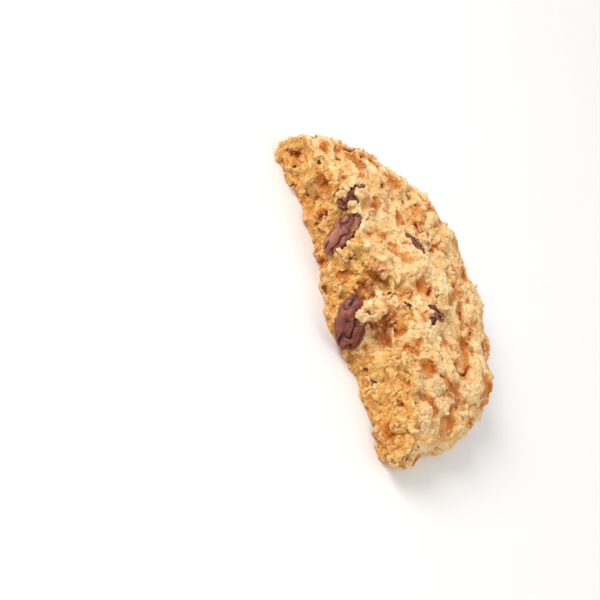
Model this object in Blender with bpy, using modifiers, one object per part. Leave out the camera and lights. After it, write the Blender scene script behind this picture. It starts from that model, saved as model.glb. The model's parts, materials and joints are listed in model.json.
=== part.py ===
"""Broken oatmeal raisin cookie: rather more than half of a round cookie, with five raisins.

The whole cookie is turned from a profile about Z, lumped by noise and given its raisins.
A jagged cutter then takes the missing part away, and each raisin gets a pocket that is a
hair larger than itself. Units are metres, Z is up and the flat underside is at z = 0.
The break faces -Y and its longest line runs along X.
"""

from math import atan2, degrees, pi, radians, sin

import bmesh
import bpy
from mathutils import Matrix, Vector, noise
from mathutils.bvhtree import BVHTree

MM = 0.001

# Driving dimensions of the whole cookie
RADIUS = 43.5 * MM          # to the widest line of the rim
HEIGHT = 15.5 * MM          # at the middle
FOOT_INSET = 3.4 * MM       # how far the flat underside stops short of the rim
RADIAL_STEPS = 100          # steps of the turned shape round the axis
RING_SPACING = 2.2 * MM     # between the rings of the top

# Lumps of the crust
OUTLINE_WAVE = 0.8 * MM     # how far the outline strays from a circle
CORNER_ANGLE = 171.0        # where the rim bulges out beside the break, in degrees from +X
CORNER_WIDTH = 20.0         # half width of that bulge, in degrees
CORNER_BULGE = 1.5 * MM
PLATE_SIZE = 11.0 * MM      # across one raised plate of crust
PLATE_SEAM = 0.5            # width of the fall towards a seam, as a share of the plate size
PLATE_RELIEF = 1.7 * MM
LUMP_SIZE = 5.0 * MM        # across one small lump
LUMP_RELIEF = 0.8 * MM
FLAT_BELOW = 0.4 * MM       # underside that stays flat
LUMPS_FULL_AT = 3.0 * MM    # height where the lumps reach their full relief
LUMP_SEED = Vector((3.7, 9.1, 4.3))

# Turning points of the break: X, with the Y of its lower and of its upper edge, in millimetres
BREAK_LINE_MM = (
    (-47, 7, 8),        # corner where the rim ends
    (-28, 5, 4),        # end of the even stretch
    (-19, 2, 4),        # the red raisin lies between this one and the next
    (-12, -2, 1),
    (-6, -6, 0),        # foot of the slope
    (3, -10, 7),        # the large raisin lies in front of the crust here
    (9, -10, 4),        # recess beside it
    (18, -12, -9),      # the crust comes forward again
    (46, -23, -21),     # past the other end of the rim
)
BREAK_SLOPE_FROM = 5.0 * MM     # the face starts to lean from its lower to its upper edge here
BREAK_SLOPE_TO = 13.5 * MM      # and has reached its upper edge here
BREAK_GRAIN_SIZE = 5.0 * MM
BREAK_GRAIN_RELIEF = 1.4 * MM
BREAK_CELL = 1.7 * MM           # mesh size of the break

# Hollows in the face of the break: X, Z, radius and depth in millimetres, less than 0 for a lump
BREAK_HOLLOWS_MM = (
    (-1.5, 11.0, 2.6, 3.5),     # hole over the large raisin
    (5.5, 11.5, 3.6, -4.0),     # lump that leans over the large raisin
    (10.5, 8.0, 3.0, 3.5),      # recess beside it
    (-27.0, 5.0, 4.5, 2.0),     # shaded pocket near the top corner
)

# Raisins: name, X, Y, how far the middle lies under the crust (None: at a stated height),
# half sizes along, across and through, turn about Z, tilt up and roll, in mm and degrees
RAISIN_SPECS = (
    ("raisin_top_edge", (-23.0, 9.5), 2.2, None, (6.8, 2.8, 2.5), (92, -5, 0)),
    ("raisin_red", (-16.0, 1.5), None, 10.0, (6.4, 3.4, 2.9), (114, 43, 0)),
    ("raisin_large", (4.0, -10.0), None, 6.8, (7.0, 4.2, 3.6), (153, 36, 0)),
    ("raisin_sliver", (-4.0, 18.5), 1.8, None, (5.2, 2.5, 2.2), (12, 0, 0)),
    ("raisin_covered", (13.0, 9.5), 1.7, None, (4.3, 3.6, 2.4), (60, 0, 0)),
)
RAISIN_SEGMENTS = 16
RAISIN_RINGS = 10
RAISIN_WRINKLE = 0.35 * MM
RAISIN_WRINKLE_SIZE = 3.0 * MM
CONTACT_GAP = 0.3 * MM          # between a raisin and its pocket

DOUGH_COLOUR = (0.80, 0.50, 0.22, 1.0)
DARK_RAISIN_COLOUR = (0.09, 0.03, 0.03, 1.0)
RED_RAISIN_COLOUR = (0.28, 0.08, 0.05, 1.0)


def clear_scene():
    """Start from an empty scene."""
    for old in list(bpy.data.objects):
        bpy.data.objects.remove(old, do_unlink=True)


def new_collection(name):
    collection = bpy.data.collections.new(name)
    bpy.context.scene.collection.children.link(collection)
    return collection


def make_material(name, colour, roughness):
    material = bpy.data.materials.new(name)
    material.use_nodes = True
    shader = material.node_tree.nodes["Principled BSDF"]
    shader.inputs["Base Color"].default_value = colour
    shader.inputs["Roughness"].default_value = roughness
    shader.inputs["Metallic"].default_value = 0.0
    return material


def add_object(name, mesh, collection, material=None):
    obj = bpy.data.objects.new(name, mesh)
    collection.objects.link(obj)
    if material is not None:
        mesh.materials.append(material)
    return obj


def smooth_step(low, high, value):
    """0 below low, 1 above high, and an even curve between them."""
    share = min(max((value - low) / (high - low), 0.0), 1.0)
    return share * share * (3.0 - 2.0 * share)


def mesh_from_bmesh(name, bm):
    mesh = bpy.data.meshes.new(name)
    bm.to_mesh(mesh)
    bm.free()
    return mesh


def mix(low, high, share):
    return low + (high - low) * share


# --- the whole cookie -----------------------------------------------------------------

def crust_profile():
    """Half section from the top of the axis down the outer side to the underside."""
    shoulder = RADIUS - 10.0 * MM
    rings = round(shoulder / RING_SPACING)
    dome_drop = 1.5 * MM
    points = [(0.0, HEIGHT)]
    for ring in range(1, rings + 1):
        radius = shoulder * ring / rings
        points.append((radius, HEIGHT - dome_drop * (radius / shoulder) ** 3))
    rim_inset_and_height = (
        (7.4, 13.2), (5.0, 12.2), (3.0, 10.8), (1.5, 9.1), (0.6, 7.3), (0.1, 5.6),
        (0.0, 4.0), (0.6, 2.4), (1.7, 1.0),
    )
    points += [(RADIUS - inset * MM, height * MM) for inset, height in rim_inset_and_height]
    points += [(RADIUS - FOOT_INSET, 0.0), (0.0, 0.0)]
    return points


def turned_mesh(name, points):
    """Turn a profile, given in X and Z, about the Z axis."""
    bm = bmesh.new()
    corners = [bm.verts.new((radius, 0.0, height)) for radius, height in points]
    for start, end in zip(corners, corners[1:]):
        bm.edges.new((start, end))
    profile = bpy.data.objects.new(name + "_profile", mesh_from_bmesh(name + "_profile", bm))
    bpy.context.scene.collection.objects.link(profile)

    screw = profile.modifiers.new("turn", "SCREW")
    screw.steps = RADIAL_STEPS
    screw.render_steps = RADIAL_STEPS
    screw.use_merge_vertices = True
    screw.merge_threshold = 0.02 * MM
    bpy.context.view_layer.update()
    evaluated = profile.evaluated_get(bpy.context.evaluated_depsgraph_get())
    mesh = bpy.data.meshes.new_from_object(evaluated)
    mesh.name = name
    bpy.data.objects.remove(profile, do_unlink=True)
    return mesh


def plate_height(place):
    """1 in the middle of a plate of crust, falling to 0 in the seam between two plates."""
    distances, _ = noise.voronoi(place / PLATE_SIZE + LUMP_SEED)
    return smooth_step(0.0, PLATE_SEAM, distances[1] - distances[0])


def calm_over_raisins(place):
    """0 over the middle of a raisin that shows in the crust, 1 well away from all of them."""
    calm = 1.0
    for _, spot, sunk, _, half_sizes, _ in RAISIN_SPECS:
        if sunk is not None:
            away = (Vector((place.x, place.y)) / MM - Vector(spot)).length
            calm *= smooth_step(0.3 * half_sizes[0], 1.5 * half_sizes[0], away)
    return calm


def crust_relief(place):
    """How far the crust stands out from the turned shape at a place."""
    plates = PLATE_RELIEF * (plate_height(place) - 0.6)
    swell = PLATE_RELIEF * noise.noise(place / (1.6 * PLATE_SIZE) - LUMP_SEED)
    lumps = LUMP_RELIEF * noise.noise(place / LUMP_SIZE + LUMP_SEED)
    return swell + (plates + lumps) * calm_over_raisins(place)


def outline_wave(place):
    """How far the outline of the rim strays from a circle in a direction from the axis."""
    direction = Vector((place.x, place.y, 0.0)).normalized()
    off_corner = abs(degrees(atan2(place.y, place.x)) - CORNER_ANGLE)
    corner = CORNER_BULGE * (1.0 - smooth_step(0.0, CORNER_WIDTH, off_corner))
    return OUTLINE_WAVE * noise.noise(direction * 2.6 + LUMP_SEED) + corner


def lump_crust(mesh):
    """Lump the top and the rim of the turned mesh and leave its underside flat."""
    moved = []
    for vertex in mesh.vertices:
        place = vertex.co.copy()
        share = smooth_step(FLAT_BELOW, LUMPS_FULL_AT, place.z)
        outward = Vector((place.x, place.y, 0.0))
        wave = outline_wave(place) * smooth_step(0.5 * RADIUS, RADIUS, outward.length)
        stray = outward.normalized() * wave if outward.length > 0.0 else Vector()
        moved.append(place + stray + vertex.normal * crust_relief(place) * share)
    for vertex, place in zip(mesh.vertices, moved):
        vertex.co = place
    mesh.update()


def make_dough(collection, material):
    mesh = turned_mesh("cookie_dough", crust_profile())
    lump_crust(mesh)
    return add_object("cookie_dough", mesh, collection, material)


# --- the break ------------------------------------------------------------------------

def break_edges_at(x):
    """Y of the lower and of the upper edge of the break at a place along X."""
    rows = [(column[0] * MM, column[1] * MM, column[2] * MM) for column in BREAK_LINE_MM]
    for (x0, low0, high0), (x1, low1, high1) in zip(rows, rows[1:]):
        if x <= x1:
            share = smooth_step(x0, x1, x)
            return mix(low0, low1, share), mix(high0, high1, share)
    return rows[-1][1], rows[-1][2]


def break_depth(x, z):
    """Y of the broken face at a place along X and up Z."""
    low, high = break_edges_at(x)
    face = mix(low, high, smooth_step(BREAK_SLOPE_FROM, BREAK_SLOPE_TO, z))
    place = Vector((x, face, z)) / BREAK_GRAIN_SIZE
    face += BREAK_GRAIN_RELIEF * noise.noise(place + LUMP_SEED)
    for hollow_x, hollow_z, radius, depth in BREAK_HOLLOWS_MM:
        away = Vector((x / MM - hollow_x, z / MM - hollow_z)).length / radius
        face += depth * MM * (1.0 - smooth_step(0.0, 1.0, away))
    return face


def make_break_cutter(collection):
    """Closed block whose rear face is the broken face and which covers the missing part."""
    half_width = RADIUS + 6.0 * MM
    below, above = -3.0 * MM, HEIGHT + 5.0 * MM
    columns = round(2.0 * half_width / BREAK_CELL)
    rows = round((above - below) / BREAK_CELL)
    bm = bmesh.new()
    bmesh.ops.create_grid(bm, x_segments=columns, y_segments=rows, size=1.0)
    for vertex in bm.verts:
        x = vertex.co.x * half_width
        z = mix(below, above, 0.5 * (vertex.co.y + 1.0))
        vertex.co = Vector((x, break_depth(x, z), z))
    sheet = list(bm.faces)
    grown = bmesh.ops.extrude_face_region(bm, geom=sheet)["geom"]
    for item in grown:
        if isinstance(item, bmesh.types.BMVert):
            item.co.y = -1.5 * RADIUS
    bmesh.ops.recalc_face_normals(bm, faces=bm.faces)
    return add_object("break_cutter", mesh_from_bmesh("break_cutter", bm), collection)


# --- raisins --------------------------------------------------------------------------

def crust_height_at(tree, x, y):
    """Height of the crust over a place, found by looking down on it."""
    hit = tree.ray_cast(Vector((x, y, 2.0 * HEIGHT)), Vector((0.0, 0.0, -1.0)))
    return hit[0].z


def raisin_mesh(name, half_sizes, seed, extra):
    """Wrinkled ellipsoid, longest along X. extra is added to every half size."""
    bm = bmesh.new()
    bmesh.ops.create_uvsphere(bm, u_segments=RAISIN_SEGMENTS, v_segments=RAISIN_RINGS,
                              radius=1.0, matrix=Matrix.Rotation(0.5 * pi, 4, "Y"))
    for vertex in bm.verts:
        unit = vertex.co.copy()
        solid = Vector([unit[axis] * half_sizes[axis] * MM for axis in range(3)])
        outward = Vector([unit[axis] / half_sizes[axis] for axis in range(3)]).normalized()
        fold = noise.noise(solid / RAISIN_WRINKLE_SIZE + LUMP_SEED * (seed + 1))
        bend = 0.35 * MM * sin(pi * unit.x)
        vertex.co = solid + outward * (RAISIN_WRINKLE * fold + extra) + Vector((0.0, bend, 0.0))
    return mesh_from_bmesh(name, bm)


def make_raisins(dough, collection, cutters, materials):
    """Make each raisin and, in the cutters' collection, the block that cuts its pocket."""
    tree = BVHTree.FromPolygons([vertex.co for vertex in dough.data.vertices],
                                [face.vertices for face in dough.data.polygons])
    raisins, pockets = [], []
    for index, (name, spot, sunk, height, half_sizes, turns) in enumerate(RAISIN_SPECS):
        x, y = spot[0] * MM, spot[1] * MM
        z = height * MM if sunk is None else crust_height_at(tree, x, y) - sunk * MM
        turn, tilt, roll = (radians(angle) for angle in turns)
        placing = (Matrix.Translation((x, y, z)) @ Matrix.Rotation(turn, 4, "Z")
                   @ Matrix.Rotation(-tilt, 4, "Y") @ Matrix.Rotation(roll, 4, "X"))
        raisin = add_object(name, raisin_mesh(name, half_sizes, index, 0.0), collection,
                            materials[name])
        pocket_name = name.replace("raisin", "pocket")
        pocket_mesh = raisin_mesh(pocket_name, half_sizes, index, CONTACT_GAP)
        pocket = add_object(pocket_name, pocket_mesh, cutters)
        raisin.matrix_world = placing
        pocket.matrix_world = placing
        raisins.append(raisin)
        pockets.append(pocket)
    return raisins, pockets


# --- putting it together --------------------------------------------------------------

def cut(target, cutters):
    """Take everything in the cutters' collection away from the target, in one step."""
    modifier = target.modifiers.new("cut", "BOOLEAN")
    modifier.operation = "DIFFERENCE"
    modifier.solver = "EXACT"
    modifier.operand_type = "COLLECTION"
    modifier.collection = cutters
    for cutter in cutters.objects:
        cutter.hide_render = True
        cutter.display_type = "WIRE"


def shade_smooth(obj):
    for face in obj.data.polygons:
        face.use_smooth = True


def world_bounds(objects):
    """Lowest and highest corner of the finished objects."""
    bpy.context.view_layer.update()
    depsgraph = bpy.context.evaluated_depsgraph_get()
    corners = []
    for obj in objects:
        evaluated = obj.evaluated_get(depsgraph)
        corners += [evaluated.matrix_world @ vertex.co for vertex in evaluated.data.vertices]
    low = Vector([min(corner[axis] for corner in corners) for axis in range(3)])
    high = Vector([max(corner[axis] for corner in corners) for axis in range(3)])
    return low, high


def centre_on_origin(objects, parts):
    """Hang everything on one empty, moved so that the parts stand centred over the origin."""
    low, high = world_bounds(parts)
    holder = bpy.data.objects.new("cookie", None)
    bpy.context.scene.collection.objects.link(holder)
    for obj in objects:
        obj.parent = holder
    holder.location = (-0.5 * (low.x + high.x), -0.5 * (low.y + high.y), 0.0)


def main():
    clear_scene()
    parts = new_collection("oatmeal_raisin_cookie")
    cutters = new_collection("cutters")
    dough_material = make_material("baked_dough", DOUGH_COLOUR, 0.8)
    dark = make_material("dark_raisin", DARK_RAISIN_COLOUR, 0.45)
    red = make_material("red_raisin", RED_RAISIN_COLOUR, 0.6)
    raisin_materials = {spec[0]: red if spec[0] == "raisin_red" else dark
                        for spec in RAISIN_SPECS}

    dough = make_dough(parts, dough_material)
    raisins, pockets = make_raisins(dough, parts, cutters, raisin_materials)
    break_cutter = make_break_cutter(cutters)
    cut(dough, cutters)
    for obj in [dough] + raisins:
        shade_smooth(obj)
    centre_on_origin([dough] + raisins + pockets + [break_cutter], [dough] + raisins)


main()
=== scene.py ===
"""Looks of a broken oatmeal raisin cookie: baked dough with its crumb, and five raisins.

Laid out as an add-on and run as a script. Lengths are metres unless a name says _mm.
"""

import json
from math import cos, pi, radians, sin

import bmesh
import bpy
import numpy as np
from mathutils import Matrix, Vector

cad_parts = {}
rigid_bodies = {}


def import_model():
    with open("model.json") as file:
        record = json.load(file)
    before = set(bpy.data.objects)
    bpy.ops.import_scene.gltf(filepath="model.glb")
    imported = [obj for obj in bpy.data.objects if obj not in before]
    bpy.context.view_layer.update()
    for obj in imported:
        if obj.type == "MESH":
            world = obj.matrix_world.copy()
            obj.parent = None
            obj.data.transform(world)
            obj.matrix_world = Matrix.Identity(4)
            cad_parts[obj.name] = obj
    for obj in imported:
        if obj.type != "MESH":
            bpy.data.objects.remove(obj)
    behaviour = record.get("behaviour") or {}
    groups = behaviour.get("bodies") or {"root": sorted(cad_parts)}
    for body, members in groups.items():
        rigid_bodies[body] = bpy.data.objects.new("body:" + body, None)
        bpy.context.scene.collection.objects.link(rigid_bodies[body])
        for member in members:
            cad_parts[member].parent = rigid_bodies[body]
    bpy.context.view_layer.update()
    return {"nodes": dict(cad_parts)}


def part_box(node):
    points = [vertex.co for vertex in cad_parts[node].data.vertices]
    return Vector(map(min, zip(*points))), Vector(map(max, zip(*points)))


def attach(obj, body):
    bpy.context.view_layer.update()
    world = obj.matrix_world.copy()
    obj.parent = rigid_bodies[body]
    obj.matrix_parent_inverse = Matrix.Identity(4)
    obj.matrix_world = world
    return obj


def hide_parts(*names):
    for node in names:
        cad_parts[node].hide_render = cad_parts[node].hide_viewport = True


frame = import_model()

import openvdb as vdb
from bpy.props import FloatProperty, FloatVectorProperty, IntProperty, PointerProperty
from mathutils import Matrix, Vector
from mathutils.bvhtree import BVHTree

bl_info = {
    "name": "Broken oatmeal raisin cookie",
    "version": (1, 0, 0),
    "blender": (4, 5, 0),
    "location": "3D View > Sidebar > Cookie",
    "description": "Dresses a packed cookie with baked dough, crumb and wrinkled raisins",
    "category": "Object",
}

MM = 0.001
DOUGH = "cookie_dough"
RAISINS = sorted(name for name in frame["nodes"] if name.startswith("raisin"))


# --- colour ---------------------------------------------------------------------------

def hex_colour(code):
    """Linear colour from a six-figure sRGB hex code."""
    channels = [int(code[place:place + 2], 16) / 255.0 for place in (0, 2, 4)]
    return tuple(c / 12.92 if c <= 0.04045 else ((c + 0.055) / 1.055) ** 2.4 for c in channels)


def colour_property(name, description, code):
    return FloatVectorProperty(name=name, description=description, subtype="COLOR", size=3,
                               min=0.0, max=1.0, default=hex_colour(code))


# --- settings -------------------------------------------------------------------------

class CookieDoughSettings(bpy.types.PropertyGroup):
    spacing: FloatProperty(name="Sample spacing", default=0.28 * MM, unit="LENGTH",
                           description="Distance between the points that the dough is carved on")
    lump_height: FloatProperty(name="Lump height", default=0.9 * MM, unit="LENGTH",
                               description="Height of the larger lumps of crust and crumb")
    lump_size: FloatProperty(name="Lump size", default=3.8 * MM, unit="LENGTH",
                             description="Width of the larger lumps of crust and crumb")
    crust_pale: colour_property("Pale crust", "Raised, dry crust", "F9E0AA")
    crust_tan: colour_property("Tan crust", "Crust between the lumps", "EBC280")
    # Drier dough on the granule tips, and also painted highlight where they stand out
    dry_tips_and_highlight: colour_property("Dry tips", "Tips of the granules, baked driest", "FDEAC6")
    crust_rosy: colour_property("Rosy crust", "Granules with more sugar", "EFBE82")
    # Amber is the dough's own light browning in patches, and also painted shade in the creases and
    # hollows
    amber_and_shade: colour_property("Amber", "Lightly browned dough between the lumps", "CE7A2A")
    # Browning in the hollows, and also painted shade in the creases
    crust_brown_and_shade: colour_property("Browned hollows", "Hollows where sugar and butter browned",
                                 "A45820")
    # Painted shade: the darkest colour, put where the dough is most enclosed, in deep hollows,
    # cracks and pits
    crevice_shade: colour_property("Crevices", "Deepest cracks and pits", "6E2E12")
    crumb_pale: colour_property("Pale crumb", "Torn inside of the cookie", "EAC078")
    crumb_gold: colour_property("Golden crumb", "Denser crumb of the inside", "C98D3E")
    underside: colour_property("Underside", "Browned underside", "B97C40")
    most_triangles: IntProperty(name="Most triangles", default=190000,
                                description="Number of triangles that the dough may have")
    seed: IntProperty(name="Seed", description="Draw of the lumps and pores", default=7)


class CookieRaisinSettings(bpy.types.PropertyGroup):
    spacing: FloatProperty(name="Sample spacing", default=0.14 * MM, unit="LENGTH",
                           description="Distance between the points that a raisin is carved on")
    fold_size: FloatProperty(name="Fold size", default=1.7 * MM, unit="LENGTH",
                             description="Distance between two folds of the skin")
    fold_depth: FloatProperty(name="Fold depth", default=0.8 * MM, unit="LENGTH",
                              description="Depth of the creases between the folds")
    fold_stretch: FloatProperty(name="Fold stretch", default=3.6,
                                description="How much longer a fold is than it is wide")
    dark_skin: colour_property("Dark skin", "Skin of the dark raisins", "451712")
    # Bloom is dust on the skin; on the tops of the folds it is also painted highlight
    dark_bloom_and_highlight: colour_property("Dark bloom", "Dull film on the folds of the dark raisins",
                                "9A4F38")
    red_skin: colour_property("Red skin", "Skin of the red raisin", "70301F")
    red_bloom_and_highlight: colour_property("Red bloom", "Dust on the folds of the red raisin", "B4765C")
    seed: IntProperty(name="Seed", description="Draw of the folds", default=21)


class CookieCrumbSettings(bpy.types.PropertyGroup):
    granules: IntProperty(name="Granules", default=2700,
                          description="Number of coarse granules stuck to the dough")
    granule_width: FloatProperty(name="Granule width", default=1.3 * MM, unit="LENGTH",
                                 description="Width of the largest granule")
    crumbs: IntProperty(name="Crumbs", default=11500,
                        description="Number of fine crumbs stuck to the dough and the raisins")
    crumb_width: FloatProperty(name="Crumb width", default=0.8 * MM, unit="LENGTH",
                               description="Width of the largest crumb")
    seed: IntProperty(name="Seed", description="Draw of the crumbs", default=5)


class CookieStageSettings(bpy.types.PropertyGroup):
    floor: colour_property("Floor", "Pale floor", "F2F0EE")
    key_power: FloatProperty(name="Key light", description="Power of the large soft light",
                             default=2.9, unit="POWER")
    fill_power: FloatProperty(name="Fill light", description="Power of the second soft light",
                              default=0.8, unit="POWER")
    sky: FloatProperty(name="Sky", description="Strength of the light from all round",
                       default=0.66)
    elevation: FloatProperty(name="Elevation", description="Angle of the view above the crust",
                             default=radians(38.0), subtype="ANGLE")
    roll: FloatProperty(name="Roll", description="Turn of the picture, as the cookie leant",
                        default=radians(59.5), subtype="ANGLE")
    distance: FloatProperty(name="Distance", description="From the camera to the cookie",
                            default=0.65, unit="LENGTH")
    view_width: FloatProperty(name="View width", description="Width of what the camera sees",
                              default=148.6 * MM, unit="LENGTH")
    right_of_middle: FloatProperty(name="Right of the middle", default=15.6 * MM, unit="LENGTH",
                                   description="How far right of the picture's middle it lies")
    above_middle: FloatProperty(name="Above the middle", default=0.84 * MM, unit="LENGTH",
                                description="How far above the picture's middle it lies")


# --- carving on a block of evenly spaced points -----------------------------------------

class Block:
    """Evenly spaced points in a box round a piece. Fields on it are arrays of distances."""

    def __init__(self, low, high, spacing, margin):
        self.spacing = spacing
        self.first = np.floor((np.array(low) - margin) / spacing).astype(int)
        last = np.ceil((np.array(high) + margin) / spacing).astype(int)
        self.shape = tuple(int(n) for n in last - self.first + 1)
        axes = [(self.first[axis] + np.arange(self.shape[axis])) * spacing for axis in range(3)]
        self.places = [grid.astype(np.float32) for grid in np.meshgrid(*axes, indexing="ij")]
        frequencies = [np.fft.fftfreq(count, spacing) for count in self.shape[:2]]
        frequencies.append(np.fft.rfftfreq(self.shape[2], spacing))
        self.frequencies = np.meshgrid(*frequencies, indexing="ij", sparse=True)
        self.frequency = np.sqrt(sum(f * f for f in self.frequencies)).astype(np.float32)

    def distance_to(self, points, corners, reach):
        """Signed distance to a closed mesh, less than 0 inside it, up to reach."""
        half_width = reach / self.spacing
        transform = vdb.createLinearTransform(voxelSize=self.spacing)
        level_set = vdb.FloatGrid.createLevelSetFromPolygons(
            points, triangles=corners, transform=transform, halfWidth=half_width)
        field = np.zeros(self.shape, np.float32)
        level_set.copyToArray(field, ijk=tuple(int(n) for n in self.first))
        return field

    def filtered(self, field, response):
        spectrum = np.fft.rfftn(field) * response
        return np.fft.irfftn(spectrum, s=self.shape).astype(np.float32)

    def noise(self, size, rng, along=None, stretch=1.0):
        """Random waves about size long, drawn out along a direction if one is given."""
        frequency = self.frequency
        if along is not None:
            share = sum(f * float(part) for f, part in zip(self.frequencies, along))
            frequency = np.sqrt(frequency ** 2 + (stretch * stretch - 1.0) * share ** 2)
        middle = 1.0 / size
        response = np.exp(-((frequency - middle) / (0.45 * middle)) ** 2)
        waves = self.filtered(rng.standard_normal(self.shape, np.float32), response)
        return waves / waves.std()

    def spread_outwards(self, field, distance, reach):
        """Give each point the value of a field at the nearest place on a surface."""
        slopes = np.gradient(distance, self.spacing)
        near = np.nonzero(np.abs(distance) < reach)
        points = np.stack([grid[near] for grid in self.places], axis=1)
        points -= np.stack([slope[near] * distance[near] for slope in slopes], axis=1)
        spread = field.copy()
        spread[near] = self.sampled(field, points)
        return spread

    def blurred(self, field, radius):
        return self.filtered(field, np.exp(-2.0 * (pi * self.frequency * radius) ** 2))

    def sampled(self, field, points):
        """Values of a field at points, by linear interpolation."""
        steps = points / self.spacing - self.first
        steps = np.clip(steps, 0.0, np.array(self.shape) - 1.001)
        cell = steps.astype(int)
        part = steps - cell
        total = np.zeros(len(points), np.float32)
        for corner in range(8):
            offset = [(corner >> axis) & 1 for axis in range(3)]
            weight = np.ones(len(points), np.float32)
            for axis in range(3):
                weight *= part[:, axis] if offset[axis] else 1.0 - part[:, axis]
            total += weight * field[cell[:, 0] + offset[0], cell[:, 1] + offset[1],
                                    cell[:, 2] + offset[2]]
        return total

    def window(self, centre, reach):
        """Slices of the part of the block within reach of a point."""
        low = np.floor((centre - reach) / self.spacing).astype(int) - self.first
        high = np.ceil((centre + reach) / self.spacing).astype(int) - self.first + 1
        low = np.clip(low, 0, self.shape)
        high = np.clip(high, 0, self.shape)
        return tuple(slice(int(a), int(b)) for a, b in zip(low, high))


def triangles_of(mesh):
    mesh.calc_loop_triangles()
    points = np.zeros(len(mesh.vertices) * 3, np.float32)
    mesh.vertices.foreach_get("co", points)
    corners = np.zeros(len(mesh.loop_triangles) * 3, np.int32)
    mesh.loop_triangles.foreach_get("vertices", corners)
    return points.reshape(-1, 3), corners.reshape(-1, 3)


def soft_union(a, b, blend):
    """Both solids, with the crease between them filled over a width of blend."""
    overlap = np.maximum(blend - np.abs(a - b), 0.0) / blend
    return np.minimum(a, b) - overlap * overlap * blend * 0.25


def soft_cut(a, b, blend):
    """Solid a without solid b, with the edge rounded over a width of blend."""
    return -soft_union(-a, b, blend)


def smooth_step(low, high, value):
    share = np.clip((value - low) / (high - low), 0.0, 1.0)
    return share * share * (3.0 - 2.0 * share)


def surface_points(points, corners, count, rng):
    """Random points spread evenly over a mesh: place, direction out and triangle of each."""
    a, b, c = (points[corners[:, k]] for k in range(3))
    cross = np.cross(b - a, c - a)
    areas = np.linalg.norm(cross, axis=1)
    chosen = rng.choice(len(corners), count, p=areas / areas.sum())
    u, v = rng.random((2, count, 1))
    flip = (u + v > 1.0)
    u, v = np.where(flip, 1.0 - u, u), np.where(flip, 1.0 - v, v)
    places = a[chosen] + u * (b - a)[chosen] + v * (c - a)[chosen]
    return places, cross[chosen] / areas[chosen, None], chosen


def tangent_frames(normals, tilt, rng):
    """For each normal, three axes as rows: two along the surface and one out of it."""
    out = normals + tilt * rng.standard_normal(normals.shape)
    out /= np.linalg.norm(out, axis=1)[:, None]
    along = np.cross(out, rng.standard_normal(normals.shape))
    along /= np.linalg.norm(along, axis=1)[:, None]
    return np.stack([along, np.cross(out, along), out], axis=1)


def stamp(block, field, bent, centres, half_sizes, axes, blend, cut=False):
    """Add an ellipsoid to a field at each centre, or cut it out."""
    for centre, sizes, frame_axes in zip(centres, half_sizes, axes):
        part = block.window(centre, 1.25 * float(sizes.max()) + blend)
        if any(s.stop - s.start < 2 for s in part):
            continue
        offset = [bent[axis][part] - centre[axis] for axis in range(3)]
        squared = 0.0
        for row, size in zip(frame_axes, sizes):
            along = (offset[0] * row[0] + offset[1] * row[1] + offset[2] * row[2]) / size
            squared = squared + along * along
        blob = (np.sqrt(squared) - 1.0) * sizes.min()
        combine = soft_cut if cut else soft_union
        field[part] = combine(field[part], blob, blend)


def mesh_of_field(name, block, field):
    """Closed mesh of the surface where a field is 0, without loose bits or inner bubbles."""
    limit = 3.0 * block.spacing
    grid = vdb.FloatGrid(limit)
    grid.transform = vdb.createLinearTransform(voxelSize=block.spacing)
    grid.copyFromArray(np.clip(field, -limit, limit), ijk=tuple(int(n) for n in block.first))
    points, triangles, quads = grid.convertToPolygons(isovalue=0.0, adaptivity=0.0)
    faces = [tuple(face) for face in triangles] + [tuple(face) for face in quads]
    points, faces = largest_part(points, faces)
    mesh = bpy.data.meshes.new(name)
    mesh.from_pydata(points, [], faces)
    mesh.validate()
    mesh.shade_smooth()
    return mesh


def largest_part(points, faces):
    """Keep only the largest connected part of a mesh."""
    owner = np.arange(len(points))
    starts = np.array([face[0] for face in faces])
    pairs = [(starts, np.array([face[k] if k < len(face) else face[0] for face in faces]))
             for k in range(1, 4)]
    while True:
        before = owner.copy()
        for a, b in pairs:
            low = np.minimum(owner[a], owner[b])
            np.minimum.at(owner, a, low)
            np.minimum.at(owner, b, low)
        owner = owner[owner]
        if np.array_equal(owner, before):
            break
    names, sizes = np.unique(owner, return_counts=True)
    kept = owner == names[sizes.argmax()]
    renumber = np.cumsum(kept) - 1
    faces = [tuple(int(renumber[corner]) for corner in face) for face in faces
             if kept[face[0]]]
    return points[kept], faces


def thinned(mesh, most_triangles):
    """Merge the smallest faces until a mesh has at most so many triangles."""
    mesh.calc_loop_triangles()
    count = len(mesh.loop_triangles)
    if count <= most_triangles:
        return mesh
    holder = bpy.data.objects.new("thinning", mesh)
    bpy.context.scene.collection.objects.link(holder)
    modifier = holder.modifiers.new("thin", "DECIMATE")
    modifier.ratio = most_triangles / count
    evaluated = holder.evaluated_get(bpy.context.evaluated_depsgraph_get())
    thin = bpy.data.meshes.new_from_object(evaluated)
    thin.name = mesh.name
    bpy.data.objects.remove(holder)
    bpy.data.meshes.remove(mesh)
    thin.shade_smooth()
    return thin


def store(mesh, name, values):
    """Keep one number for each point of a mesh, for its material to read."""
    attribute = mesh.attributes.new(name, "FLOAT", "POINT")
    attribute.data.foreach_set("value", np.ascontiguousarray(values, np.float32))


def points_of(mesh):
    points = np.zeros(len(mesh.vertices) * 3, np.float32)
    mesh.vertices.foreach_get("co", points)
    return points.reshape(-1, 3)


def add_piece(name, mesh, node, material):
    piece = bpy.data.objects.new(name, mesh)
    bpy.context.scene.collection.objects.link(piece)
    mesh.materials.append(material)
    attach(piece, "root")
    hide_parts(node)
    return piece


# --- materials ------------------------------------------------------------------------

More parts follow.
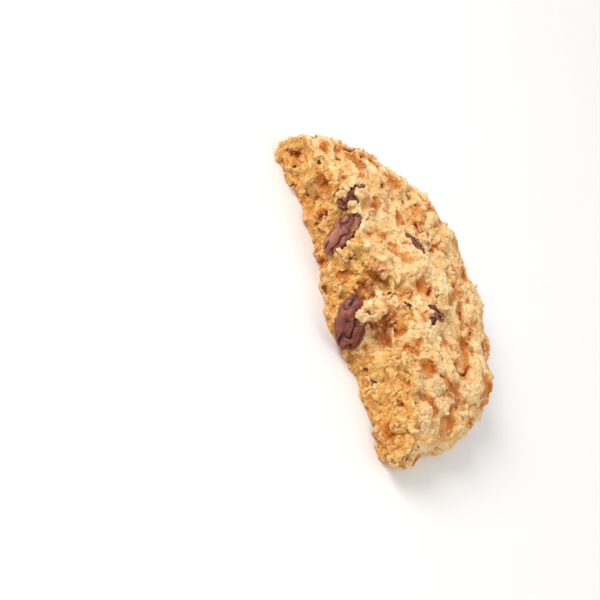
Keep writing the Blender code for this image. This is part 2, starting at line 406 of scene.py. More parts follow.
def add_node(tree, kind, settings=None, links=None):
    """Add a node, set its fields and inputs, and link its inputs to other nodes' outputs."""
    node = tree.nodes.new(kind)
    for key, value in (settings or {}).items():
        if isinstance(key, str) and key not in node.inputs:
            setattr(node, key, value)
        else:
            node.inputs[key].default_value = value
    for key, output in (links or {}).items():
        tree.links.new(output, node.inputs[key])
    return node


def new_material(name):
    material = bpy.data.materials.new(name)
    material.use_nodes = True
    return material, material.node_tree, material.node_tree.nodes["Principled BSDF"]


def rgba(colour):
    return (colour[0], colour[1], colour[2], 1.0)


def baked_dough_material(settings):
    """Rolled-oat biscuit dough, dropped in lumps and baked dry."""
    # The eye gets: matt grains with no gloss, pale dry tops with painted highlight on the granule
    # tips, orange where fat and sugar browned in the hollows, painted shade darkening the creases
    # and hollows, and a yellower, softer crumb where it broke.
    material, tree, shader = new_material("baked_oat_dough")
    place = add_node(tree, "ShaderNodeTexCoord").outputs["Object"]
    field = {name: add_node(tree, "ShaderNodeAttribute", {"attribute_name": name}).outputs["Fac"]
             for name in ("crease", "hollow", "crumb", "below")}
    # Noise sizes are those of patches of browning, single lumps and ground oats
    for name, size, detail in (("patches", 6.0 * MM, 2.0), ("lumps", 1.6 * MM, 2.0),
                               ("grains", 0.5 * MM, 2.0)):
        field[name] = add_node(tree, "ShaderNodeTexNoise",
                               {"Scale": 1.0 / size, "Detail": detail, "Roughness": 0.6},
                               {"Vector": place}).outputs[0]
    # Ground oats and sugar stand as round granules, each with a colour of its own
    waver = add_node(tree, "ShaderNodeVectorMath", {"operation": "SCALE", "Scale": 0.5 * MM},
                     {0: field["lumps"]})
    place = add_node(tree, "ShaderNodeVectorMath", {"operation": "ADD"},
                     {0: place, 1: waver.outputs[0]}).outputs[0]
    granules = add_node(tree, "ShaderNodeTexVoronoi", {"Scale": 1.0 / (1.0 * MM)},
                        {"Vector": place})
    field["granule"] = add_node(tree, "ShaderNodeSeparateColor", None,
                                {0: granules.outputs["Color"]}).outputs[0]
    # Browning and painted shade in the hollows creep from lump to lump, so their edge is ragged
    field["browned"] = add_node(tree, "ShaderNodeMath",
                                {"operation": "MULTIPLY_ADD", 1: 0.9, 2: -0.36},
                                {0: field["lumps"]}).outputs[0]
    browning_and_shade = add_node(tree, "ShaderNodeAttribute", {"attribute_name": "browned"})
    field["browned"] = add_node(tree, "ShaderNodeMath", {"operation": "ADD"},
                                {0: field["browned"], 1: browning_and_shade.outputs["Fac"]}).outputs[0]
    # The underside is mottled where it did not quite touch the tray
    field["lifted"] = add_node(tree, "ShaderNodeMath", {"operation": "MULTIPLY"},
                               {0: field["below"], 1: field["patches"]}).outputs[0]
    # Each line: what steers the colour, from, to, how much of it at most, the colour
    crust = (("patches", 0.38, 0.62, 0.9, settings.crust_tan),
             ("granule", 0.35, 0.95, 0.55, settings.crust_rosy),
             ("lumps", 0.52, 0.68, 0.35, settings.amber_and_shade),
             ("patches", 0.57, 0.70, 0.5, settings.amber_and_shade),
             # Hollow and crease: painted shade, more orange where the dough is enclosed
             ("hollow", 0.08, 0.46, 0.65, settings.amber_and_shade),
             ("crease", 0.10, 0.50, 0.6, settings.amber_and_shade),
             ("browned", 0.14, 0.70, 0.85, settings.amber_and_shade),
             ("browned", 0.5, 1.2, 0.6, settings.crust_brown_and_shade))
    crumb = (("granule", 0.2, 0.9, 0.8, settings.crumb_gold),
             ("lumps", 0.46, 0.66, 0.6, settings.crumb_gold),
             # Hollow and crease: painted shade, more orange where the crumb is enclosed
             ("hollow", 0.10, 0.50, 0.6, settings.amber_and_shade),
             ("crease", 0.08, 0.46, 0.7, settings.amber_and_shade),
             ("browned", 0.14, 0.70, 0.85, settings.amber_and_shade),
             ("browned", 0.5, 1.2, 0.6, settings.crust_brown_and_shade))
    both = (("grains", 0.60, 0.36, 0.25, settings.amber_and_shade),
            # Painted highlight on the convex tips of the granules, partly also their drier dough
            ("crease", -0.12, -0.55, 0.35, settings.dry_tips_and_highlight),
            # Painted shade in the creases
            ("crease", 0.36, 0.75, 0.8, settings.crust_brown_and_shade),
            # Painted shade in the most enclosed hollows, cracks and pits
            ("hollow", 0.42, 0.85, 0.85, settings.crevice_shade),
            ("below", 0.0, 1.0, 0.9, settings.underside),
            ("lifted", 0.40, 0.66, 0.4, settings.crust_tan))
    ends = []
    for first, layers in ((settings.crust_pale, crust), (settings.crumb_pale, crumb), (None, both)):
        if first is None:
            mix = add_node(tree, "ShaderNodeMix", {"data_type": "RGBA"},
                           {0: field["crumb"], 6: ends[0], 7: ends[1]})
        else:
            mix = add_node(tree, "ShaderNodeMix", {"data_type": "RGBA", 0: 0.0, 6: rgba(first)})
        for name, low, high, most, colour in layers:
            share = add_node(tree, "ShaderNodeMapRange",
                             {"interpolation_type": "SMOOTHSTEP", 1: low, 2: high, 4: most},
                             {0: field[name]})
            mix = add_node(tree, "ShaderNodeMix", {"data_type": "RGBA", 7: rgba(colour)},
                           {0: share.outputs[0], 6: mix.outputs[2]})
        ends.append(mix.outputs[2])
    tree.links.new(ends[2], shader.inputs["Base Color"])
    # Dry starch scatters a little light just under its skin
    for name, value in (("Roughness", 0.8), ("IOR", 1.45), ("Specular IOR Level", 0.2),
                        ("Subsurface Weight", 0.1),
                        ("Subsurface Radius", (1.0, 0.5, 0.25)), ("Subsurface Scale", 0.7 * MM)):
        shader.inputs[name].default_value = value
    # Each granule is a dome: 1 less the square of the distance from its middle
    square = add_node(tree, "ShaderNodeMath", {"operation": "MULTIPLY"},
                      {0: granules.outputs[0], 1: granules.outputs[0]})
    dome = add_node(tree, "ShaderNodeMath", {"operation": "SUBTRACT", 0: 1.0},
                    {1: square.outputs[0]})
    coarse = add_node(tree, "ShaderNodeBump", {"Strength": 1.0, "Distance": 0.32 * MM},
                      {"Height": dome.outputs[0]})
    fine = add_node(tree, "ShaderNodeBump", {"Strength": 1.0, "Distance": 0.34 * MM},
                    {"Height": field["grains"], "Normal": coarse.outputs[0]})
    tree.links.new(fine.outputs[0], shader.inputs["Normal"])
    return material


def raisin_material(name, skin, bloom_and_highlight):
    """Sun-dried grape: thin leathery skin, shrunk into folds, with a film of sugar and wax."""
    # The eye gets: near-black creases, which are painted shade, a soft gleam along the folds,
    # partly painted highlight, and dusty patches.
    material, tree, shader = new_material(name)
    place = add_node(tree, "ShaderNodeTexCoord").outputs["Object"]
    fold = add_node(tree, "ShaderNodeAttribute", {"attribute_name": "fold"}).outputs["Fac"]
    blotches, grain = (add_node(tree, "ShaderNodeTexNoise",
                                {"Scale": 1.0 / size, "Detail": detail}, {"Vector": place})
                       for size, detail in ((2.0 * MM, 5.0), (0.45 * MM, 3.0)))
    mix = add_node(tree, "ShaderNodeMix", {"data_type": "RGBA", 0: 0.0, 6: rgba(skin)})
    for value, low, high, most, colour in (
            # On the fold tops the bloom is partly dust, partly painted highlight; the blotches and
            # grain are dust
            (fold, 0.35, 1.0, 0.4, bloom_and_highlight), (blotches.outputs[0], 0.48, 0.64, 0.75, bloom_and_highlight),
            (grain.outputs[0], 0.56, 0.72, 0.6, bloom_and_highlight),
            # Painted shade: the creases darkened to a third of the skin colour
            (fold, 0.42, 0.05, 0.85, tuple(0.3 * part for part in skin))):
        share = add_node(tree, "ShaderNodeMapRange",
                         {"interpolation_type": "SMOOTHSTEP", 1: low, 2: high, 4: most}, {0: value})
        mix = add_node(tree, "ShaderNodeMix", {"data_type": "RGBA", 7: rgba(colour)},
                       {0: share.outputs[0], 6: mix.outputs[2]})
    tree.links.new(mix.outputs[2], shader.inputs["Base Color"])
    # The dusty patches are duller than the bare skin
    dull = add_node(tree, "ShaderNodeMapRange", {1: 0.4, 2: 0.65, 3: 0.36, 4: 0.6},
                    {0: blotches.outputs[0]})
    tree.links.new(dull.outputs[0], shader.inputs["Roughness"])
    for field, value in (("IOR", 1.47), ("Subsurface Weight", 0.1),
                         ("Subsurface Radius", (1.0, 0.3, 0.2)), ("Subsurface Scale", 0.8 * MM)):
        shader.inputs[field].default_value = value
    bump = add_node(tree, "ShaderNodeBump", {"Strength": 0.5, "Distance": 0.12 * MM},
                    {"Height": grain.outputs[0]})
    tree.links.new(bump.outputs[0], shader.inputs["Normal"])
    return material


def floor_material(colour):
    """White painted board, rolled flat and matt."""
    # The eye gets: a plain pale ground that only takes the soft shadow.
    material, _, shader = new_material("painted_board")
    shader.inputs["Base Color"].default_value = rgba(colour)
    shader.inputs["Roughness"].default_value = 0.8
    return material


# --- the dough ------------------------------------------------------------------------

# Lumps of dough that lean over the raisins: the raisin, where in its box along X, Y and Z
# (0 to 1), and half sizes (mm). The crust side of a box is at Y 1, its top at Z 1.
LEANING_LUMPS = (
    ("raisin_large", 0.5, 1.25, 1.0, 2.8, 2.6, 2.4),
    ("raisin_large", 0.5, 1.0, 1.0, 2.8, 2.6, 2.4),
    ("raisin_large", 0.5, 0.75, 1.0, 2.8, 2.6, 2.4),
    ("raisin_large", 0.5, 0.5, 1.0, 2.0, 1.8, 1.8),
    ("raisin_red", 1.0, 0.0, 0.5, 2.2, 1.6, 1.9),
    ("raisin_red", 1.0, 0.25, 0.75, 1.6, 1.3, 1.5),
    ("raisin_red", 0.75, 0.5, 1.0, 1.3, 1.2, 0.9),
    ("raisin_top_edge", 0.75, 0.5, 1.0, 1.3, 2.2, 0.9),
    ("raisin_sliver", 0.25, 0.0, 0.9, 1.8, 1.1, 0.8),
    ("raisin_sliver", 0.5, 0.0, 1.0, 1.8, 1.0, 0.8),
    ("raisin_sliver", 0.5, 1.0, 1.0, 2.6, 1.2, 1.0),
    ("raisin_covered", 0.25, 0.25, 1.0, 1.5, 1.6, 0.9),
    ("raisin_covered", 0.5, 1.0, 0.9, 1.6, 1.4, 1.1),
    ("raisin_covered", 1.0, 0.5, 0.9, 1.3, 1.5, 1.0),
)
# Gaps where the dough tore away on both sides of the large raisin, in the same way
TORN_GAPS = (
    ("raisin_large", 0.0, 1.25, 0.75, 1.7, 2.4, 1.5),
    ("raisin_large", 1.0, 1.0, 0.75, 3.0, 2.6, 1.5),
)
# Marks strewn over a surface: how many, how far apart, half length, half width and depth,
# each from and to, and how softly they are cut (mm)
BREAK_HOLLOWS = (8, 7.0, (1.0, 2.8), (1.0, 1.6), (0.7, 1.4), 0.6)
CRUST_HOLLOWS = (16, 6.5, (1.4, 3.4), (0.9, 1.5), (0.9, 1.3), 0.6)
CRUST_PITS = (14, 6.0, (0.8, 1.5), (0.6, 0.9), (1.2, 1.8), 0.25)
CRACKS = 11
CRACK_STEP = 0.4 * MM
CRACK_SIZES = (0.6 * MM, 0.32 * MM, 1.3 * MM)   # half length and half width of a step, depth


def ball_sizes(rng, count, smallest, largest, flatness):
    """Half sizes of count uneven lumps: two along the surface and one out of it."""
    along = smallest + (largest - smallest) * rng.random((count, 1)) ** 1.6
    uneven = 0.8 + 0.45 * rng.random((count, 2))
    out = flatness * (0.85 + 0.3 * rng.random((count, 1)))
    return np.concatenate([along * uneven, along * out], axis=1)


def set_axes(normal, turn):
    """Axes of a mark on the surface, as rows, with its length turned in plan."""
    along = np.array((cos(turn), sin(turn), 0.0))
    along -= normal * along.dot(normal)
    along /= np.linalg.norm(along)
    return np.stack([along, np.cross(normal, along), normal])


def place_in_box(node, shares):
    """A place in a node's box, from 0 to 1 along X, Y and Z."""
    low, high = (np.array(corner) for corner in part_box(node))
    return low + np.array(shares) * (high - low)


def billow(block, size, rng, along=None, stretch=1.0):
    """Rounded lumps about size across with creases between them, from 0 to 1."""
    waves = np.abs(block.noise(2.0 * size, rng, along, stretch))
    return np.minimum(waves / 1.4, 1.0) ** 0.7


class Dough:
    """The dough as a field on a block, carved step by step."""

    def __init__(self, settings):
        self.rng = np.random.default_rng(settings.seed)
        self.marks_rng = np.random.default_rng((settings.seed, 2))
        low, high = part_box(DOUGH)
        self.block = Block(low, high, settings.spacing, 2.5 * MM)
        self.solid = triangles_of(frame["nodes"][DOUGH].data)
        plain = self.block.distance_to(*self.solid, 4.0 * MM)
        self.raisins = np.full(self.block.shape, 4.0 * MM, np.float32)
        for name in RAISINS:
            away = self.block.distance_to(*triangles_of(frame["nodes"][name].data), 4.0 * MM)
            self.raisins = np.minimum(self.raisins, away)
        self.bend = self.bent(4.0 * MM, 0.3 * MM)
        # Where the hollows, pits, cracks and gaps were cut; the colour browns these and paints
        # shade in them
        self.sunken = np.full(self.block.shape, 4.0 * MM, np.float32)
        self.find_surfaces(plain)
        self.lean_lumps(plain)
        self.form = triangles_of(mesh_of_field("form", self.block, plain))
        self.tree = BVHTree.FromPolygons(*(part.tolist() for part in self.form))
        self.plain = self.block.distance_to(*self.form, 4.0 * MM)
        self.field = self.plain.copy()

    def bent(self, size, shift):
        """Places with a wavering shift, so that what is stamped there is uneven."""
        return [grid + shift * self.block.noise(size, self.rng) for grid in self.block.places]

    def find_surfaces(self, plain):
        """Where the crumb of the break and the underside are, from 0 to 1."""
        spacing = self.block.spacing
        body = smooth_step(spacing, -spacing, np.minimum(plain, self.raisins))
        slopes = np.gradient(self.block.blurred(body, 1.5 * MM), spacing)
        length = np.sqrt(sum(slope * slope for slope in slopes)) + 1.0e-6
        waver = 0.07 * self.block.noise(2.5 * MM, self.rng)
        height = self.block.places[2]
        self.crumb = smooth_step(0.42, 0.58, slopes[1] / length + waver)
        self.below = smooth_step(0.75, 0.92, slopes[2] / length) * smooth_step(
            1.0 * MM, 0.3 * MM, height)
        # The rim rose evenly against its own skin, so it is smoother than the top
        low, high = (np.array(corner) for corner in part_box(DOUGH))
        radius = 0.5 * (high[0] - low[0])
        away = [self.block.places[0], self.block.places[1] - (high[1] - radius)]
        length = length * np.sqrt(away[0] ** 2 + away[1] ** 2 + spacing ** 2)
        outwards = -(slopes[0] * away[0] + slopes[1] * away[1]) / length
        self.rim = smooth_step(0.25, 0.75, outwards) * (1.0 - self.crumb)

    def lean_lumps(self, plain):
        """Add the lumps that lean over the raisins, and cut the hollows of the break."""
        upright = np.eye(3)
        for rows, cut, blend in ((LEANING_LUMPS, False, 0.5 * MM), (TORN_GAPS, True, 0.6 * MM)):
            for node, *row in rows:
                place, sizes = place_in_box(node, row[:3]), np.array(row[3:]) * MM
                stamp(self.block, plain, self.bend, [place], [sizes], [upright], blend, cut)
                if cut:
                    stamp(self.block, self.sunken, self.bend, [place], [sizes], [upright], blend)
        self.cut_marks(plain, BREAK_HOLLOWS, in_crumb=True)

    def spaced_places(self, count, apart, in_crumb):
        """Random places on the crust or the crumb, far enough apart and clear of raisins."""
        places, normals, _ = surface_points(*self.solid, 60 * count, self.marks_rng)
        free = (self.block.sampled(self.crumb, places) > 0.5) == in_crumb
        free &= self.block.sampled(self.below, places) < 0.5
        free &= self.block.sampled(self.raisins, places) > 1.8 * MM
        free &= normals[:, 2] > (-0.3 if in_crumb else 0.5)
        chosen = []
        for index in np.nonzero(free)[0]:
            gaps = np.linalg.norm(places[chosen] - places[index], axis=1)
            if len(chosen) < count and (gaps > apart).all():
                chosen.append(index)
        return places[chosen], normals[chosen]

    def cut_marks(self, field, marks, in_crumb):
        """Cut hollows or pits of uneven size at random places."""
        count, apart, *ranges, blend = marks
        places, normals = self.spaced_places(count, apart * MM, in_crumb)
        smallest, largest = np.array(ranges).T * MM
        sizes = smallest + (largest - smallest) * self.marks_rng.random((len(places), 3))
        axes = tangent_frames(normals, 0.1, self.marks_rng)
        stamp(self.block, field, self.bend, places, sizes, axes, blend * MM, cut=True)
        stamp(self.block, self.sunken, self.bend, places, sizes, axes, 0.3 * MM)

    def swell(self, height, size):
        """Crust in plates with sunken ground between them, and crumb in torn lumps."""
        block, rng = self.block, self.rng
        plates = block.noise(8.0 * MM, rng) + 0.4 * block.noise(2.6 * MM, rng)
        self.plate = smooth_step(-1.7, -0.8, plates)
        crust = -0.7 * MM * (1.0 - self.plate) + height * (billow(block, size, rng) - 1.0)
        crust *= 1.0 - 0.65 * self.rim
        # The crust split into islands as it spread: thin cracks that fade in and out
        line = np.abs(block.noise(9.0 * MM, rng)) + 0.05 * block.noise(2.5 * MM, rng)
        here = smooth_step(-0.9, 0.1, block.noise(14.0 * MM, rng))
        self.crack = smooth_step(0.16, 0.03, line) * here * (1.0 - self.crumb)
        crust -= 1.0 * MM * self.crack
        torn = 0.3 * MM * block.noise(6.0 * MM, rng) + height * (
            billow(block, 0.9 * size, rng) - 0.85)
        near_raisin = smooth_step(1.4 * MM, 0.3 * MM, self.raisins)
        relief = crust + (torn - crust) * self.crumb
        relief *= (1.0 - self.below) * (1.0 - 0.6 * near_raisin)
        self.relief = relief + 0.34 * MM * near_raisin
        self.field -= block.spread_outwards(self.relief, self.plain, 3.2 * MM)

    def scatter(self, count, in_crumb, sizes, flatness, depth, blend, tilt, cut=False):
        """Lumps, or pores, strewn over the crust or over the crumb."""
        places, normals, _ = surface_points(*self.form, count, self.rng)
        sort = self.block.sampled(self.crumb, places) > 0.5
        clear = self.block.sampled(self.raisins, places) > 0.35 * MM
        keep = (sort == in_crumb) & (self.block.sampled(self.below, places) < 0.5) & clear
        places, normals = places[keep], normals[keep]
        sizes = ball_sizes(self.rng, len(places), sizes[0], sizes[1], flatness)
        sizes *= 1.0 - 0.5 * self.block.sampled(self.rim, places)[:, None]
        sink = sizes[:, 2] * (depth[0] + (depth[1] - depth[0]) * self.rng.random(len(places)))
        rise = self.block.sampled(self.relief, places) - sink
        centres = places + normals * rise[:, None]
        axes = tangent_frames(normals, tilt, self.rng)
        stamp(self.block, self.field, self.bend, centres, sizes, axes, blend, cut)

    def on_crust(self, x, y):
        """Place and direction of the crust at a place in plan, or None off the crust."""
        place, normal, _, _ = self.tree.ray_cast(Vector((x, y, 0.1)), Vector((0.0, 0.0, -1.0)))
        if place is None or normal.z < 0.4:
            return None
        place = np.array(place)
        crumb, away = (float(self.block.sampled(field, place[None])[0])
                       for field in (self.crumb, self.raisins))
        return None if crumb > 0.4 or away < 1.0 * MM else (place, np.array(normal))

    def split_crust(self):
        """Cut thin cracks that wander over the crust until they meet crumb or a raisin."""
        starts, _ = self.spaced_places(CRACKS, 10.0 * MM, in_crumb=False)
        for x, y, _ in starts:
            heading = 2.0 * pi * self.marks_rng.random()
            for _ in range(self.marks_rng.integers(12, 34)):
                found = self.on_crust(x, y)
                if found is None:
                    break
                place, normal = found
                sizes, axes = [np.array(CRACK_SIZES)], [set_axes(normal, heading)]
                stamp(self.block, self.field, self.bend, [place], sizes, axes, 0.2 * MM, cut=True)
                stamp(self.block, self.sunken, self.bend, [place], sizes, axes, 0.2 * MM)
                heading += 0.22 * self.marks_rng.standard_normal()
                x += CRACK_STEP * cos(heading)
                y += CRACK_STEP * sin(heading)

    def finish(self):
        """Add the finest grain, and cut the dough off where it lay on the tray."""
        block, rng = self.block, self.rng
        self.field -= 0.05 * MM * block.noise(0.85 * MM, rng) * (1.0 - self.below)
        # Flat, but for shallow dimples and burst bubbles
        lift = 0.22 * MM * smooth_step(-0.2, 1.6, block.noise(4.5 * MM, rng))
        lift += 0.55 * MM * smooth_step(1.3, 2.3, block.noise(2.2 * MM, rng))
        self.field = np.maximum(self.field, lift - block.places[2])

    def browned(self):
        """How brown the colour makes the dough, from 0 to 1: in the cut hollows, on the low ground
        between the plates, in the cracks and low on the break; partly browning, partly painted
        shade.
        """
        # Darker towards the underside of the break: browning near the underside, and painted shade
        low_down = 0.32 * self.crumb * smooth_step(7.0 * MM, 0.0, self.block.places[2])
        between = 0.5 * (1.0 - self.plate) * (1.0 - self.crumb)
        marked = smooth_step(1.6 * MM, -0.6 * MM, self.sunken)
        return np.maximum.reduce([marked, between, low_down, 0.4 * self.crack])


def make_dough(settings):
    dough = Dough(settings)
    dough.swell(settings.lump_height, settings.lump_size)
    crust, crumb = False, True
    # Oat flakes, then fused granules, then pores
    dough.scatter(60, crust, (1.7 * MM, 2.4 * MM), 0.35, (0.4, 0.9), 0.35 * MM, 0.1)
    dough.scatter(2800, crust, (0.7 * MM, 1.3 * MM), 0.85, (0.25, 0.85), 0.28 * MM, 0.3)
    dough.scatter(150, crust, (0.6 * MM, 1.0 * MM), 1.0, (-0.1, 0.5), 0.3 * MM, 0.3, cut=True)
    dough.scatter(3400, crumb, (0.65 * MM, 1.15 * MM), 0.9, (0.0, 0.6), 0.28 * MM, 0.4)
    dough.scatter(240, crumb, (0.6 * MM, 1.0 * MM), 1.0, (0.0, 0.6), 0.3 * MM, 0.5, cut=True)
    dough.cut_marks(dough.field, CRUST_HOLLOWS, crust)
    dough.cut_marks(dough.field, CRUST_PITS, crust)
    dough.split_crust()
    dough.finish()
    block = dough.block
    mesh = thinned(mesh_of_field("baked_dough", block, dough.field), settings.most_triangles)
    points = points_of(mesh)
    filled = smooth_step(block.spacing, -block.spacing, dough.field)
    # How enclosed each point is, at two widths: the colour paints shade where it is enclosed and
    # highlight where it stands out
    for name, radius in (("crease", 0.45 * MM), ("hollow", 1.3 * MM)):
        share = block.sampled(block.blurred(filled, radius), points)
        store(mesh, name, 2.0 * share - 1.0)
    for name, values in (("crumb", dough.crumb), ("below", dough.below),
                         ("browned", dough.browned())):
        store(mesh, name, block.sampled(values, points))
    return add_piece("baked_dough", mesh, DOUGH, baked_dough_material(settings))


class OBJECT_OT_cookie_dough(bpy.types.Operator):
    """Carve the baked dough round the CAD dough: crust, crumb, cracks and underside"""
    bl_idname = "object.cookie_dough"
    bl_label = "Baked dough"

    def execute(self, context):
        make_dough(context.scene.cookie_dough)
        return {"FINISHED"}


# --- the raisins ----------------------------------------------------------------------

def make_raisin(node, settings, material, rng):
    low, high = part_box(node)
    block = Block(low, high, settings.spacing, 1.2 * MM)
    points, corners = triangles_of(frame["nodes"][node].data)
    plain = block.distance_to(points, corners, 2.5 * MM)
    _, _, axes = np.linalg.svd(points - points.mean(axis=0), full_matrices=False)
    # Folds run along the raisin, some wandering across it
    ridges = block.noise(2.0 * settings.fold_size, rng, axes[0], settings.fold_stretch)
    wander = block.noise(1.6 * settings.fold_size, rng)
    fold = np.minimum(np.abs(ridges + 0.4 * wander) / 1.3, 1.0) ** 0.7
    fine = billow(block, 0.4 * settings.fold_size, rng, axes[0], 2.0)
    relief = settings.fold_depth * (fold - 0.8) + 0.16 * settings.fold_depth * (fine - 0.6)
    field = plain - relief - 0.05 * MM
    mesh = mesh_of_field(node + "_skin", block, field)
    store(mesh, "fold", block.sampled(fold, points_of(mesh)))
    return add_piece(node + "_skin", mesh, node, material)


class OBJECT_OT_cookie_raisins(bpy.types.Operator):
    """Wrinkle each raisin and give it its skin"""
    bl_idname = "object.cookie_raisins"
    bl_label = "Raisins"

    def execute(self, context):
        settings = context.scene.cookie_raisins
        rng = np.random.default_rng(settings.seed)
        materials = {
            "dark_raisin": raisin_material("dark_dried_grape", settings.dark_skin,
                                           settings.dark_bloom_and_highlight),
            "red_raisin": raisin_material("red_dried_grape", settings.red_skin,
                                          settings.red_bloom_and_highlight),
        }
        for node in RAISINS:
            slot = "red_raisin" if node == "raisin_red" else "dark_raisin"
            make_raisin(node, settings, materials[slot], rng)
        return {"FINISHED"}


# --- the crumbs -----------------------------------------------------------------------

def make_crumbs(name, count, width, smoothness, material, rng):
    """Bits of dough stuck to the cookie, all in one mesh, in the colours of where they are."""
    carriers = [piece for piece in bpy.data.objects
                if piece.name == "baked_dough" or piece.name.endswith("_skin")]
    if len(carriers) != 1 + len(RAISINS):
        raise RuntimeError("the crumbs need the dough and the raisins first")
    shades = ("crease", "hollow", "crumb", "below", "browned")
    places, normals, shading = [], [], {shade: [] for shade in shades}
    for piece in carriers:
        on_dough = piece.name == "baked_dough"
        points, corners = triangles_of(piece.data)
        found = surface_points(points, corners, count if on_dough else 900, rng)
        if not on_dough:
            # A raisin carries them in three small clusters, and only the fine ones
            away = np.linalg.norm(found[0][:, None] - found[0][None, :3], axis=2).min(axis=1)
            near = away < 2.4 * MM * rng.random(len(away)) ** 0.5
            near = np.nonzero(near)[0][:14 if width < 1.0 * MM else 0]
            found = [part[near] for part in found]
        else:
            # Crust sheds fewer of them than the break does
            crumb = np.zeros(len(points), np.float32)
            piece.data.attributes["crumb"].data.foreach_get("value", crumb)
            kept = rng.random(count) < 0.5 + 0.5 * crumb[corners[found[2], 0]]
            found = [part[kept] for part in found]
        places.append(found[0])
        normals.append(found[1])
        for shade in shades:
            values = np.zeros(len(points), np.float32)
            if on_dough:
                piece.data.attributes[shade].data.foreach_get("value", values)
            shading[shade].append(values[corners[found[2], 0]])
    places, normals = np.concatenate(places), np.concatenate(normals)
    lying = (places[:, 2] > 1.0 * MM) & (normals[:, 2] > -0.5)
    places, normals = places[lying], normals[lying]
    count = len(places)
    size = 0.5 * width * (0.45 + 0.55 * rng.random(count) ** 2)
    form = bmesh.new()
    bmesh.ops.create_icosphere(form, subdivisions=smoothness, radius=1.0)
    ball = np.array([vert.co[:] for vert in form.verts])
    faces = np.array([[vert.index for vert in face.verts] for face in form.faces])
    form.free()
    # Each is drawn out its own way and dented by a few slow waves
    waves = rng.standard_normal((count, 3, 4)) * 2.0
    dents = np.sin(ball @ waves + 6.3 * rng.random((count, 1, 4))).sum(axis=2)
    shape = ball * (1.0 + 0.13 * dents[:, :, None]) * (0.7 + 0.6 * rng.random((count, 1, 3)))
    out = np.einsum("nvk,nkj->nvj", shape * size[:, None, None],
                    tangent_frames(normals, 0.5, rng))
    sink = size * (0.1 + 0.5 * rng.random(count))
    out += (places - normals * sink[:, None])[:, None, :]
    all_faces = faces[None] + (np.arange(count) * len(ball))[:, None, None]
    mesh = bpy.data.meshes.new(name)
    mesh.from_pydata(out.reshape(-1, 3), [], all_faces.reshape(-1, 3).tolist())
    mesh.shade_smooth()
    for shade in shades:
        values = np.concatenate(shading[shade])[lying]
        # Crumbs stand out, so they get less painted shade in creases and hollows, and a painted
        # highlight on some tips
        if shade == "crease":
            values = np.minimum(values, 0.25) - 0.25 * rng.random(count)
        if shade == "hollow":
            values = 0.6 * values
        store(mesh, shade, np.repeat(values, len(ball)))
    piece = bpy.data.objects.new(name, mesh)
    bpy.context.scene.collection.objects.link(piece)
    mesh.materials.append(material)
    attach(piece, "root")
    return piece


class OBJECT_OT_cookie_crumbs(bpy.types.Operator):
    """Stick small crumbs to the dough and the raisins"""
    bl_idname = "object.cookie_crumbs"
    bl_label = "Crumbs"

    def execute(self, context):
        settings = context.scene.cookie_crumbs
        material = bpy.data.materials["baked_oat_dough"]
        for name, count, width, smoothness in (
                ("stuck_granules", settings.granules, settings.granule_width, 2),
                ("stuck_crumbs", settings.crumbs, settings.crumb_width, 1)):
            rng = np.random.default_rng((settings.seed, smoothness))
            make_crumbs(name, count, width, smoothness, material, rng)
        return {"FINISHED"}


# --- the stage ------------------------------------------------------------------------

def add_area_light(name, direction, distance, size, power, target):
    light = bpy.data.lights.new(name, "AREA")
    light.shape = "DISK"
    light.size = size
    light.energy = power
    obj = bpy.data.objects.new(name, light)
    bpy.context.scene.collection.objects.link(obj)
    obj.location = target + Vector(direction).normalized() * distance
    obj.rotation_euler = (target - obj.location).to_track_quat("-Z", "Y").to_euler()
    return obj


def add_camera(settings, aim):
    """Look down on the crust from the broken side, rolled as the cookie leant."""
    camera = bpy.data.cameras.new("camera")
    camera.sensor_width = 36.0
    camera.lens = camera.sensor_width * settings.distance / settings.view_width
    camera.clip_start = 0.01
    obj = bpy.data.objects.new("camera", camera)
    bpy.context.scene.collection.objects.link(obj)
    back = Vector((0.0, -cos(settings.elevation), sin(settings.elevation)))
    obj.location = aim + back * settings.distance
    level = Matrix.Rotation(pi / 2.0 - settings.elevation, 4, "X")
    rolled = level @ Matrix.Rotation(settings.roll, 4, "Z")
    obj.rotation_euler = rolled.to_euler()
    bpy.context.scene.camera = obj
    return obj


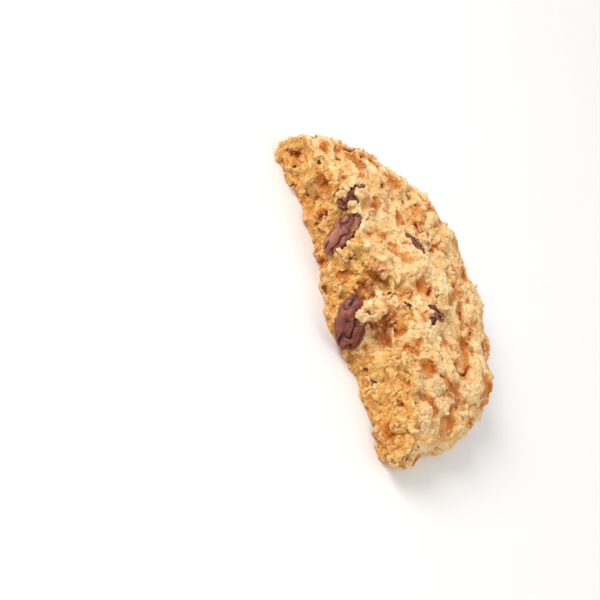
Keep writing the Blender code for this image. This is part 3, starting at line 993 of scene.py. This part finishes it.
def make_stage(settings):
    low, high = (Vector(corner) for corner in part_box(DOUGH))
    disc_radius = 0.5 * (high.x - low.x)
    disc_centre = Vector((0.0, high.y - disc_radius, 0.42 * high.z))

    mesh = bpy.data.meshes.new("floor")
    reach = 3.0
    # A hair below the dough, so that the two flat faces never coincide
    level = -0.05 * MM
    corners = [(-reach, -reach, level), (reach, -reach, level), (reach, reach, level),
               (-reach, reach, level)]
    mesh.from_pydata(corners, [], [(0, 1, 2, 3)])
    floor = bpy.data.objects.new("floor", mesh)
    bpy.context.scene.collection.objects.link(floor)
    mesh.materials.append(floor_material(settings.floor))

    camera = add_camera(settings, disc_centre)
    camera.data.shift_x = -settings.right_of_middle / settings.view_width
    camera.data.shift_y = -settings.above_middle / settings.view_width
    add_area_light("key", (-0.64, -0.36, 0.54), 0.6, 0.35, settings.key_power, disc_centre)
    add_area_light("fill", (0.45, -0.05, 0.85), 0.7, 0.5, settings.fill_power, disc_centre)

    world = bpy.data.worlds.new("soft_sky")
    world.use_nodes = True
    background = world.node_tree.nodes["Background"]
    background.inputs["Color"].default_value = rgba(hex_colour("FFFFFF"))
    background.inputs["Strength"].default_value = settings.sky
    bpy.context.scene.world = world
    bpy.context.scene.view_settings.view_transform = "Standard"


class OBJECT_OT_cookie_stage(bpy.types.Operator):
    """Add the pale floor, the soft lights and the camera"""
    bl_idname = "object.cookie_stage"
    bl_label = "Stage"

    def execute(self, context):
        make_stage(context.scene.cookie_stage)
        return {"FINISHED"}


# --- the add-on -----------------------------------------------------------------------

class VIEW3D_PT_cookie(bpy.types.Panel):
    """Sidebar panel of the cookie's settings"""
    bl_label = "Cookie"
    bl_idname = "VIEW3D_PT_cookie"
    bl_space_type = "VIEW_3D"
    bl_region_type = "UI"
    bl_category = "Cookie"

    def draw(self, context):
        groups = ((OBJECT_OT_cookie_dough, context.scene.cookie_dough),
                  (OBJECT_OT_cookie_raisins, context.scene.cookie_raisins),
                  (OBJECT_OT_cookie_crumbs, context.scene.cookie_crumbs),
                  (OBJECT_OT_cookie_stage, context.scene.cookie_stage))
        for operator, settings in groups:
            box = self.layout.box()
            box.operator(operator.bl_idname)
            for name in settings.__annotations__:
                box.prop(settings, name)


SETTINGS = (("cookie_dough", CookieDoughSettings), ("cookie_raisins", CookieRaisinSettings),
            ("cookie_crumbs", CookieCrumbSettings), ("cookie_stage", CookieStageSettings))
OPERATORS = (OBJECT_OT_cookie_dough, OBJECT_OT_cookie_raisins, OBJECT_OT_cookie_crumbs,
             OBJECT_OT_cookie_stage)


def register():
    for name, group in SETTINGS:
        bpy.utils.register_class(group)
        setattr(bpy.types.Scene, name, PointerProperty(type=group))
    for cls in OPERATORS + (VIEW3D_PT_cookie,):
        bpy.utils.register_class(cls)


def unregister():
    for cls in (VIEW3D_PT_cookie,) + OPERATORS[::-1]:
        bpy.utils.unregister_class(cls)
    for name, group in SETTINGS[::-1]:
        delattr(bpy.types.Scene, name)
        bpy.utils.unregister_class(group)


def main():
    register()
    bpy.ops.object.cookie_dough()
    bpy.ops.object.cookie_raisins()
    bpy.ops.object.cookie_crumbs()
    bpy.ops.object.cookie_stage()


if __name__ == "__main__":
    main()
